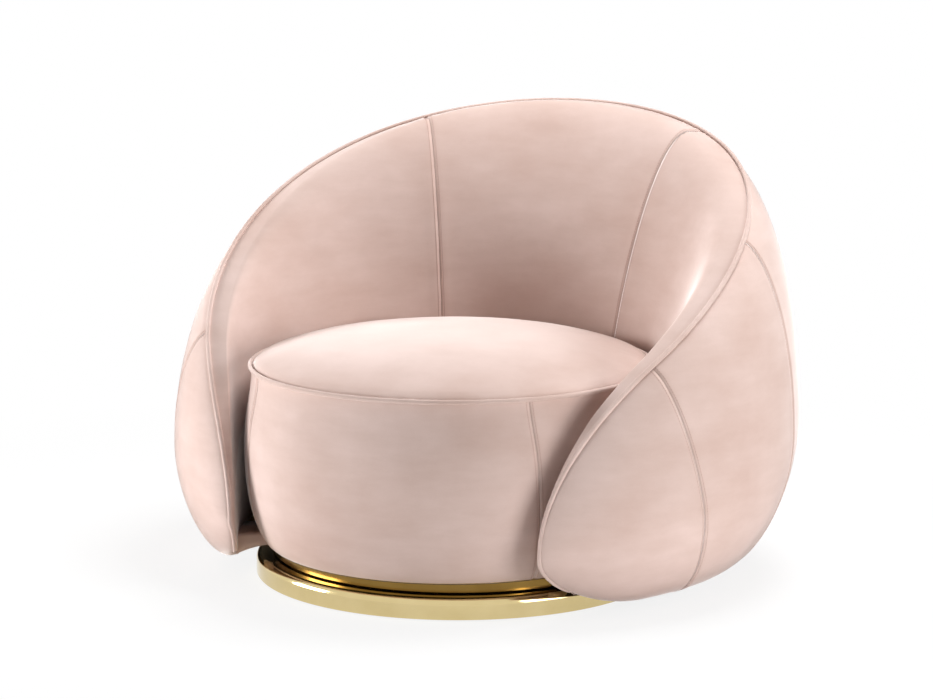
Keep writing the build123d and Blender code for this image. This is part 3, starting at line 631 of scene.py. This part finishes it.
def drum_face(angle, share):
    """Side of the drum: from the welt out to the belly, in to the foot, then a hem turned in below."""
    (top_r, top_z), (out_r, out_z), (foot_r, foot_z) = drum_top, drum_belly, drum_foot
    upper, lower = between(share, 0, belly_share), between(share, belly_share, drum_foot_share)
    radius = curve(top_r, top_r, out_r, out_r, upper)
    low_radius = curve(out_r, out_r, foot_r + 0.5 * (out_r - foot_r), foot_r, lower)
    radius = np.where(share > belly_share, low_radius, radius) - drum_hem * between(share, drum_foot_share, 1)
    height = curve(top_z, top_z - 0.35 * (top_z - out_z), out_z + 0.5 * (top_z - out_z), out_z, upper)
    drop = out_z - foot_z
    low_height = curve(out_z, out_z - 0.55 * drop, foot_z + 0.12 * drop, foot_z, lower)
    height = np.where(share > belly_share, low_height, height)
    return drum_place(angle, radius + 0 * angle, height + 0 * angle)


def drum_seam_angles(share):
    """Plan angle of the seam: about 133 degrees at the welt, and some 3 less at the foot, in a slight bow."""
    return drum_seam_middle + drum_seam_slant * (1 - 2.2 * share) * (1 - 0.45 * share)


drum_seam = drum_seam_angles(drum_rows)
make_panel(
    "drum_front_pad",
    drum_face(angles_between(drum_seam, 360 - drum_seam, 170, drum_rows), drum_rows[None]),
    [0, 1],
    ["drum_front_panel", "drum_foam"],
)
for side, word in side_names.items():
    ends = np.sort([0 * drum_seam, side * drum_seam], axis=0)
    make_panel(
        f"drum_side_pad_{word}",
        drum_face(angles_between(ends[0], ends[1], 190, drum_rows), drum_rows[None]),
        [1 if side > 0 else 0],
        [f"drum_side_panel_{word}"],
    )

# %% [markdown]
# The top of the seat is a cushion: a closed form with a flat underside, whose crown falls to the welt. A
# plain dome would look hard, so cloth simulation fills it. The form is remeshed into even squares, air
# pressure swells it for a few frames, and the movement is capped, so that the cushion keeps its size. The
# squares leave faint steps on the crown, which a smoothing and one subdivision take away.

# %% Seat cushion
crown_swell = 0.004  # how far the simulation may lift the cloth
edge_share, floor_share = 0.6, 0.7  # where the edge and the underside start along the form
held_from, held_to, held_drop = 0.315, 0.337, 0.004  # radii where the welt takes hold, and depth below it
voxel_size, air_pressure, air_frames = 0.0065, 4.0, 20


def seat_form(angle, share, drop):
    """Closed form of the cushion: crown from the middle to the edge, a short side, and a flat underside."""
    edge_r, edge_z, crown_z, floor_z = 0.3435, 0.3695, seat_height + seat_crown - drop, 0.352
    top, side = between(share, 0, edge_share), between(share, edge_share, floor_share)
    radius = curve(0.0, 0.200, edge_r - 0.018, edge_r, top) - 0.004 * side
    height = curve(crown_z, crown_z, edge_z + 0.040 - 0.6 * drop, edge_z, top) + (floor_z - edge_z) * side
    radius = radius * between(share, 1, floor_share)
    return drum_place(angle, radius + 0 * angle, height + 0 * angle)


def weld(piece):
    """Merges the points that lie together at a pole, and makes all faces point outwards."""
    form = bmesh.new()
    form.from_mesh(piece.data)
    bmesh.ops.remove_doubles(form, verts=form.verts, dist=1e-6)
    bmesh.ops.recalc_face_normals(form, faces=form.faces)
    form.to_mesh(piece.data)
    form.free()


def mesh_points(mesh):
    """All points of a mesh as rows."""
    points = np.empty(len(mesh.vertices) * 3, np.float32)
    mesh.vertices.foreach_get("co", points)
    return points.reshape(-1, 3).astype(float)


turn_count, share_count = 180, 150
turns = np.linspace(0, 360, turn_count, endpoint=False)[:, None]
seat_points = seat_form(turns, np.linspace(0, 1, share_count)[None], crown_swell)
seat = make_piece("seat_cushion", seat_points, grid_faces(turn_count, share_count, close_rows=True), velvet)
weld(seat)
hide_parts("seat_cover", "seat_foam")
print("seat cushion", len(seat.data.polygons), "faces")

# %% Fill the cushion with air


def bake(piece):
    """Puts what the modifiers make into the mesh, and takes them off."""
    graph = bpy.context.evaluated_depsgraph_get()
    made = bpy.data.meshes.new_from_object(piece.evaluated_get(graph), depsgraph=graph)
    piece.modifiers.clear()
    old = piece.data
    piece.data = made
    made.polygons.foreach_set("use_smooth", np.ones(len(made.polygons), bool))
    bpy.data.meshes.remove(old)


def inflate(piece, cap, held):
    """Swells a closed piece with air: even squares, cloth under pressure, then a cap on the movement.

    Points where held is 1 stay where they are.
    """
    scene = bpy.context.scene
    remesh = piece.modifiers.new("even", "REMESH")
    remesh.mode, remesh.voxel_size = "VOXEL", voxel_size
    bake(piece)
    before = mesh_points(piece.data)
    group = piece.vertex_groups.new(name="held")
    share = held(before).round(2)
    for level in np.unique(share):
        group.add(np.flatnonzero(share == level).tolist(), float(level), "REPLACE")
    cloth = piece.modifiers.new("air", "CLOTH")
    cloth.settings.use_pressure = True
    cloth.settings.uniform_pressure_force = air_pressure
    cloth.settings.vertex_group_mass = "held"
    cloth.settings.effector_weights.gravity = 0
    cloth.settings.quality = 5
    for number in range(1, air_frames + 1):
        scene.frame_set(number)
    bake(piece)
    scene.frame_set(1)
    moved = mesh_points(piece.data) - before
    length = np.linalg.norm(moved, axis=1, keepdims=True)
    moved *= np.minimum(1, cap / np.maximum(length, 1e-9))
    piece.data.vertices.foreach_set("co", (before + moved).astype(np.float32).ravel())
    piece.data.update()
    calm = piece.modifiers.new("calm", "SMOOTH")
    calm.factor, calm.iterations = 0.5, 14
    calm.vertex_group, calm.invert_vertex_group = "held", True
    finer = piece.modifiers.new("finer", "SUBSURF")
    finer.levels = finer.render_levels = 1
    bake(piece)
    piece.vertex_groups.clear()
    return float(length.max())


def seat_held(points):
    """The underside and the sewn edge stay: 1 below the welt's height and near the welt, 0 on the crown."""
    radius = np.hypot(points[:, 0], points[:, 1] - drum_y)
    edge = between(radius, held_from, held_to)
    return np.where(points[:, 2] < seat_height - held_drop, 1.0, edge)


swell = inflate(seat, crown_swell, seat_held)
print("seat swelled by up to", round(swell * 1000, 1), "mm, capped at", crown_swell * 1000)

# %% [markdown]
# ## Welts
#
# A welt is a cord wrapped in a strip of the same cloth. A bevelled curve could make it, with the same girth
# all along. Here a round profile is carried along a path, so that the girth varies a little and the ends are
# round. On the rim the path turns steeply down at the nose of each arm, goes round it, and ends underneath.

# %% Welts
welt_radius, welt_step, welt_sides, tip_length = 0.004, 0.0025, 20, 0.03
nose_squeeze, tail = 22, 0.62  # degrees in the first step from the nose, and steps that go on below it


def tube(path, sizes, count, closed, axis_y):
    """Round profile along a path: at each point a ring across it, which starts away from an upright axis."""
    step = np.roll(path, -1, axis=0) - np.roll(path, 1, axis=0) if closed else np.gradient(path, axis=0)
    ahead = unit(step)
    outward = (path - [0.0, axis_y, 0.0]) * [1.0, 1.0, 0.0]
    aside = unit(outward - np.sum(outward * ahead, axis=1, keepdims=True) * ahead)
    upward = np.cross(aside, ahead)
    turn = full_turn(count)
    ring = np.cos(turn)[None, :, None] * aside[:, None] + np.sin(turn)[None, :, None] * upward[:, None]
    return path[:, None] + sizes[:, None, None] * ring


def path_length(path):
    """Length along a path up to each of its points."""
    return np.insert(np.cumsum(np.linalg.norm(np.diff(path, axis=0), axis=1)), 0, 0)


def read_off(places, length, rows):
    """Rows of three numbers that belong to lengths along a path, read off at other places on it."""
    return np.stack([np.interp(places, length, column) for column in rows.T], axis=-1)


def even_path(path, spacing):
    """Points at equal steps along a path, and how far along it they lie."""
    length = path_length(path)
    places = np.linspace(0, length[-1], int(length[-1] / spacing) + 1)
    return read_off(places, length, path), places


def rim_path():
    """Rim from under one nose, over the back, to under the other. Steps shrink towards the nose."""
    half = math.sqrt(nose_angle / nose_squeeze)
    step = np.linspace(-half - tail, half + tail, 1600)
    from_nose = half - np.abs(step)
    angle = nose_angle - nose_squeeze * from_nose**2
    under = from_nose < 0
    radius = np.where(under, foot_radius(angle), rim_radius(angle))
    height = np.where(under, under_height(angle), rim_height(angle))
    return shell_place(np.where(step > 0, angle, -angle), radius, height)


def welt_piece(name, path, closed, axis_y, node):
    """Cloth-covered cord with a slightly uneven girth, as bias strip has, and rounded ends."""
    line, places = even_path(path, welt_step)
    flare = 1 + 0.03 * np.sin(places * 410) * np.sin(places * 57 + 1) + 0.02 * np.sin(places * 131)
    if closed:
        line, flare = line[:-1], flare[:-1]
    else:
        ends = np.minimum(places, places[-1] - places)
        flare = flare * np.sqrt(1 - between(ends, tip_length, 0) ** 2)
    points = tube(line, welt_radius * flare, welt_sides, closed, axis_y)
    faces = grid_faces(len(line), welt_sides, close_rows=closed, close_columns=True)
    piece = make_piece(name, points, faces, velvet)
    weld(piece)
    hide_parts(node)
    print(name, "length", round(float(places[-1]), 3), "m")


welt_piece("rim_piping", rim_path(), False, shell_y, "rim_welt")
circle = np.linspace(0, 360, 1441)
seat_line = drum_place(circle, np.full(circle.shape, drum_radius), np.full(circle.shape, seat_height))
welt_piece("seat_piping", seat_line, True, drum_y, "seat_welt")

# %% [markdown]
# ## The ledge between drum and arm
#
# Low down, between the drum and each arm, the board of the frame is covered with the same cloth. A bevelled
# box could stand for it, but the cloth also bends and droops. So it is a strip whose profile goes over the
# board's front edge, carried along a slightly hollow line from the drum to the arm.

# %% Ledge
ledge_start, ledge_end = 0.312, 0.376  # distance of the strip's ends from the drum's axis
ledge_sine, ledge_cosine = 0.8426, -0.5385  # plan direction of the board's front edge
ledge_top, ledge_corner, ledge_cloth = 0.0797, 0.006, 0.001  # height, rounding and thickness of the cloth
ledge_lift, ledge_droop = 0.0035, 0.012  # how the front's lower edge runs: up at the drum, down at the arm


def ledge_form(side):
    """Profile over the edge (level top, rounded corner, short front, return) carried from drum to arm."""
    share = np.linspace(0, 1, 40)
    direction = np.array([ledge_sine * side, ledge_cosine])
    forward = np.array([ledge_cosine * side, -ledge_sine])
    along = ledge_start + (ledge_end - ledge_start) * share
    hollow = 0.0045 - 0.002 * np.sin(math.pi * share)
    edge = np.array([0, drum_y]) + along[:, None] * direction + hollow[:, None] * forward
    corner = np.linspace(0, math.pi / 2, 9)
    bend_out, bend_up = ledge_corner * (np.sin(corner) - 1), ledge_top + ledge_corner * (np.cos(corner) - 1)
    out = np.concatenate([[-0.09, -0.05, -0.02], bend_out, [0.0005, 0.0, -0.004, -0.03]])
    up = np.concatenate([[ledge_top] * 3, bend_up, [0.066, 0.058, 0.0545, 0.0545]])
    flat = edge[:, None] + out[None, :, None] * forward
    run = ledge_lift * (1 - share) - ledge_droop * share**2
    height = up[None] + between(up, 0.07, 0.06)[None] * run[:, None]
    form = np.concatenate([flat, height[..., None]], axis=-1)
    return form[::-1] if side > 0 else form


for side, word in side_names.items():
    form = ledge_form(side)
    normal = grid_normals(form)
    piece = make_piece(f"ledge_cover_{word}", *closed_sheet(form, form - ledge_cloth * normal), velvet)
    print(piece.name, "normal of the top", normal[len(normal) // 2, 1].round(2))

# %% [markdown]
# ## Stitches
#
# Each panel seam is top-stitched with two rows of thread, one on each side. A stitch is a short rounded bar
# that dips into the cloth at its ends. An Array modifier along a curve could repeat it, but it bends each
# copy, and needs a curve for each row. Here one small form is repeated along each row, all in one array sum.
# The line that the thread presses into the pile is drawn by the velvet itself, from the panels' seam map.

# %% Stitches
stitch_length, stitch_pitch, thread_radius = 0.0036, 0.0050, 0.00042
stitch_rings, stitch_sides = 7, 6
stitch_rise, stitch_dip = 0.00035, 0.0007  # how high a stitch lies, and how far its ends go down from there
stitch_lift, strip_step = 0.0002, 0.2  # row above the bare face, and step in degrees that gives its normals


def make_thread():
    """Thread: close to the pile in colour, with a fine twist."""
    material, shader, place = new_material("sewing_thread")
    twist = place.node("ShaderNodeTexNoise", Vector=place, Scale=2600.0, Detail=1.0)
    tint = twist.ramp((0.3, colour(201, 170, 160)), (0.7, colour(214, 184, 175)))
    bump = place.node("ShaderNodeBump", Height=twist, Strength=0.3, Distance=0.0002)
    feed(shader, Base_Color=tint, Roughness=0.62 + 0.15 * twist, Normal=bump)
    return material


thread = make_thread()


def stitch_form():
    """One stitch along x: a six-sided bar, thin at its ends, whose ends bend down into the cloth."""
    share = np.linspace(-1, 1, stitch_rings)[:, None]
    turn = full_turn(stitch_sides)
    girth = thread_radius * np.sqrt(np.maximum(0.05, 1 - share**2 * 0.95))
    x = share * stitch_length / 2 + 0 * turn
    z = girth * np.sin(turn) + stitch_rise - stitch_dip * share**4
    points = np.stack([x, girth * np.cos(turn), z], axis=-1)
    return points.reshape(-1, 3), grid_faces(stitch_rings, stitch_sides, close_columns=True)


def stitch_row(path, normals):
    """Points and faces of a row of stitches along a path: the form times the axes of each stitch."""
    line, places = even_path(path, stitch_pitch)
    up = unit(read_off(places, path_length(path), normals))
    ahead = unit(np.gradient(line, axis=0))
    axes = np.stack([ahead, np.cross(up, ahead), up], axis=1)
    form, faces = stitch_form()
    points = (line[:, None] + form @ axes).reshape(-1, 3)
    every = faces[None] + len(form) * np.arange(len(line))[:, None, None]
    return points, every.reshape(-1, 4)


def seam_rows(face, angle, shares, radius):
    """The two rows beside a seam: the face at the seam's angle, moved by the stitch gap to either side."""
    rows = []
    for aside in (-1, 1):
        shift = np.degrees(aside * stitch_gap / radius)
        strip = face(angle + shift + strip_step * np.array([[-1], [0], [1]]), shares[None])
        normal = grid_normals(strip)[1]
        rows.append((strip[1] + stitch_lift * normal, normal))
    return rows


def sew(name, rows):
    """One piece with all the stitches of several rows."""
    points, faces, count = [], [], 0
    for path, normals in rows:
        own_points, own_faces = stitch_row(path, normals)
        points.append(own_points)
        faces.append(own_faces + count)
        count += len(own_points)
    make_piece(name, np.concatenate(points), np.concatenate(faces), thread)
    print(name, count // (stitch_rings * stitch_sides), "stitches")


inner_line, outer_line = np.linspace(0.12, 0.985, 400), np.linspace(0.012, 0.93, 400)
drum_line = np.linspace(0.02, 0.94, 300)
sewn_seams = {  # the face, the seam's plan angle, the part of the face that is stitched, and its radius there
    "inner_seam_stitches": (inner_face, inner_seam, inner_line, 0.42),
    "outer_seam_stitches": (outer_face, back_seam, outer_line, 0.53),
    "front_seam_stitches": (outer_face, front_seam_angles(outer_line), outer_line, 0.53),
    "drum_seam_stitches": (drum_face, drum_seam_angles(drum_line), drum_line, 0.355),
}
for name, (face, angle, line, radius) in sewn_seams.items():
    sew(name, [row for side in side_names for row in seam_rows(face, side * angle, line, radius)])

# %% [markdown]
# ## The metal base
#
# The base is a low pan with a polished gold finish, and a narrower band above it hides the bearing. The
# solids could be shown as they are, but a mirror finish would show their facets. So both are profiles turned
# about the swivel axis in fine steps. Polished metal shows what is round it, so the corners need a real
# rounding to catch a line of light.

# %% Base
metal_wall, turn_steps = 0.0025, 256


def make_gold(name, dark, light, rough):
    """Gold-toned metal with faint hazy strokes left by polishing, nearly a mirror where it is smooth."""
    material, shader, place = new_material(name)
    stretched = place.node("ShaderNodeMapping", Vector=place, Scale=(6.0, 6.0, 260.0))
    strokes = place.node("ShaderNodeTexNoise", Vector=stretched, Scale=3.0, Detail=4.0)
    haze = place.node("ShaderNodeTexNoise", Vector=place, Scale=14.0, Detail=3.0)
    tint = haze.ramp((0.35, dark), (0.7, light))
    gloss = rough + 0.05 * strokes + 0.03 * haze
    bump = place.node("ShaderNodeBump", Height=strokes, Strength=0.02, Distance=0.0003)
    feed(shader, Base_Color=tint, Roughness=gloss, Normal=bump, Metallic=1.0)
    return material


gold = make_gold("polished_gold", colour(212, 192, 140), colour(220, 201, 151), 0.05)
# The band's gold is the pan's gold painted darker, as painted shade under the overhanging drum, with a satin
# roughness.
shaded_satin_gold = make_gold("shaded_satin_gold", colour(126, 98, 48), colour(140, 111, 58), 0.16)


def rounded(corners, radii, count=13):
    """Outline with each right-angled corner replaced by an arc of the given radius.

    The arc is a rational curve: start, corner and end weigh (1-s)^2, sqrt(2) s (1-s) and s^2.
    """
    corners = np.asarray(corners, float)
    before = unit(np.roll(corners, 1, axis=0) - corners)
    after = unit(np.roll(corners, -1, axis=0) - corners)
    share = np.linspace(0, 1, count)[None, :, None]
    size = np.asarray(radii)[:, None]
    start, end = (corners + before * size)[:, None], (corners + after * size)[:, None]
    pull = math.sqrt(2) * share * (1 - share)
    weighed = (1 - share) ** 2 * start + pull * corners[:, None] + share**2 * end
    return (weighed / ((1 - share) ** 2 + pull + share**2)).reshape(-1, 2)


def lid(bore, outside, foot, top):
    """Corners of an upturned dish in section: across the top, down the outside, and back inside the wall."""
    inside, under = outside - metal_wall, top - metal_wall
    return [(bore, top), (outside, top), (outside, foot), (inside, foot), (inside, under), (bore, under)]


def turned(name, corners, radii, node, material, body):
    """Closed profile of (radius, height) turned about the swivel axis."""
    profile = rounded(corners, radii)
    turn = full_turn(turn_steps)[:, None]
    radius, height = profile[None, :, 0], profile[None, :, 1]
    points = np.stack([radius * np.sin(turn), radius * np.cos(turn), height + 0 * turn], axis=-1)
    faces = grid_faces(turn_steps, len(profile), close_rows=True, close_columns=True)
    piece = make_piece(name, points, faces, material, body, "polished_metal")
    weld(piece)
    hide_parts(node)
    print(name, len(piece.data.polygons), "faces")


pan = lid(bore=0.095, outside=0.353, foot=0.002, top=0.038)
pan_radii = [0.0008, 0.012, 0.001, 0.0008, 0.0095, 0.0008]
turned("base_ring", pan, pan_radii, "base_pan", gold, "base")
collar = lid(bore=0.300, outside=0.324, foot=0.0405, top=0.060)
collar_radii = [0.0008, 0.0018, 0.001, 0.0008, 0.0008, 0.0008]
turned("collar_band", collar, collar_radii, "swivel_collar", shaded_satin_gold, "seat")

# %% [markdown]
# ## What lies inside
#
# The frame, springs and bearing hardly show, but someone who lifts the chair sees some of them. New meshes
# would add nothing there. They keep their solids, and get plain workshop finishes.

# %% Inner finishes


def make_wood(name, light, dark, grain):
    """Board: bands of grain along x with fine fibres."""
    material, shader, place = new_material(name)
    stretched = place.node("ShaderNodeMapping", Vector=place, Scale=(grain, 14.0 * grain, 14.0 * grain))
    fibre = place.node("ShaderNodeTexNoise", Vector=stretched, Scale=3.0, Detail=8.0, Roughness=0.65)
    bump = place.node("ShaderNodeBump", Height=fibre, Strength=0.15, Distance=0.0005)
    feed(shader, Base_Color=fibre.ramp((0.3, dark), (0.7, light)), Roughness=0.6 + 0.25 * fibre, Normal=bump)
    return material


def make_plain(name, light, dark, scale, rough, metal=0.0):
    """Finish with a fine mottle in colour and gloss."""
    material, shader, place = new_material(name)
    mottle = place.node("ShaderNodeTexNoise", Vector=place, Scale=scale, Detail=4.0)
    bump = place.node("ShaderNodeBump", Height=mottle, Strength=0.15, Distance=0.0004)
    tint = mottle.ramp((0.3, dark), (0.7, light))
    feed(shader, Base_Color=tint, Roughness=rough + 0.15 * mottle, Normal=bump, Metallic=metal)
    return material


finishes = {
    "plywood": make_wood("plywood", colour(205, 172, 126), colour(168, 132, 88), 5.0),
    "fibreboard": make_wood("fibreboard", colour(146, 116, 84), colour(120, 92, 64), 30.0),
    "glide_plastic": make_plain("black_plastic", colour(34, 34, 35), colour(22, 22, 23), 300.0, 0.45),
    "steel": make_plain("zinc_steel", colour(190, 192, 194), colour(160, 163, 167), 120.0, 0.28, 1.0),
    "felt": make_plain("dark_felt", colour(74, 69, 66), colour(54, 50, 48), 700.0, 0.8),
    "polished_metal": gold,
    "velvet": velvet,
    "foam": make_plain("cream_foam", colour(232, 222, 192), colour(214, 203, 172), 400.0, 0.75),
}
for entry in frame["record"]["subparts"]:
    mesh = frame["nodes"][entry["node"]].data
    mesh.materials.clear()
    mesh.materials.append(finishes[entry["material_slot"]])

# %% [markdown]
# ## Floor and light
#
# The chair stands on a pale floor in front of a white backdrop. A picture of a studio could light it, but
# lamps are easier to steer. A soft box low on the viewer's left does most of the work: it grazes the cloth,
# so that the pile lights up at the edges, and leaves the hollow of the shell in shade. A weaker box fills
# the right, and one above and behind lights the seat and the rim. The world adds a little light from all
# round. The floor looks white to the camera and in the metal, and keeps a soft shadow.

# %% Floor
floor_size = 60.0  # from the middle to an edge
near_share = 0.84  # how white the floor itself looks near the chair, where its shadow shows
shade_radius, shade_fade = 0.7, 1.1  # where the floor starts to turn white, and by how much for each metre


def seen_directly(tree):
    """1 for rays from the camera, off metal or through glass, and 0 for those that carry light."""
    rays = tree.nodes.new("ShaderNodeLightPath")
    camera_ray, glossy, through_glass = (
        Link(tree, rays.outputs[f"Is {kind} Ray"]) for kind in ("Camera", "Glossy", "Transmission")
    )
    return (camera_ray + glossy + through_glass).clamp()


floor_mesh = bpy.data.meshes.new("studio_floor")
floor_corners = [(x * floor_size, y * floor_size, 0) for x, y in ((-1, -1), (1, -1), (1, 1), (-1, 1))]
floor_mesh.from_pydata(floor_corners, [], [(0, 1, 2, 3)])
floor = add_object("studio_floor", floor_mesh)

floor_material, floor_shader, floor_place = new_material("studio_floor")
feed(floor_shader, Base_Color=(0.9, 0.9, 0.9, 1.0), Roughness=0.9, Specular_IOR_Level=0.0)
tree = floor_material.node_tree
glow = tree.nodes.new("ShaderNodeEmission")
glow.inputs["Color"].default_value = (1, 1, 1, 1)
mixed = tree.nodes.new("ShaderNodeMixShader")
away = floor_place.node("ShaderNodeVectorMath", {"operation": "LENGTH"}, "Value", _0=floor_place)
white = near_share + (1 - near_share) * ((away - shade_radius) * shade_fade).clamp()
tree.links.new((seen_directly(tree) * white).socket, mixed.inputs[0])
tree.links.new(floor_shader.outputs[0], mixed.inputs[1])
tree.links.new(glow.outputs[0], mixed.inputs[2])
tree.links.new(mixed.outputs[0], tree.nodes["Material Output"].inputs["Surface"])
floor_mesh.materials.append(floor_material)
print("floor", floor_size * 2, "m across")

# %% Light
ambient = 0.05  # light from all round
world = bpy.data.worlds.new("studio")
bpy.context.scene.world = world
world.use_nodes = True
background = world.node_tree.nodes["Background"].inputs
background["Color"].default_value = (1, 1, 1, 1)
brightness = seen_directly(world.node_tree) * (1 - ambient) + ambient
world.node_tree.links.new(brightness.socket, background["Strength"])


def lamp(name, place, target, size, power):
    """Square area lamp that faces a point."""
    data = bpy.data.lights.new(name, "AREA")
    data.size, data.energy = size, power
    made = add_object(name, data)
    aim = np.asarray(target, float) - np.asarray(place, float)
    flat = math.hypot(aim[0], aim[1])
    made.location = place
    made.rotation_euler = (math.pi / 2 + math.atan2(aim[2], flat), 0, math.atan2(-aim[0], aim[1]))


lamp("left_box", (-2.9, -1.5, 0.6), (0, 0, 0.35), 1.4, 120)
lamp("right_box", (2.85, -0.9, 0.8), (0.1, 0, 0.35), 1.4, 54)
lamp("top_box", (0.45, 0.95, 3.2), (0, 0, 0.4), 1.5, 115)

bpy.context.scene.view_settings.view_transform = "Standard"
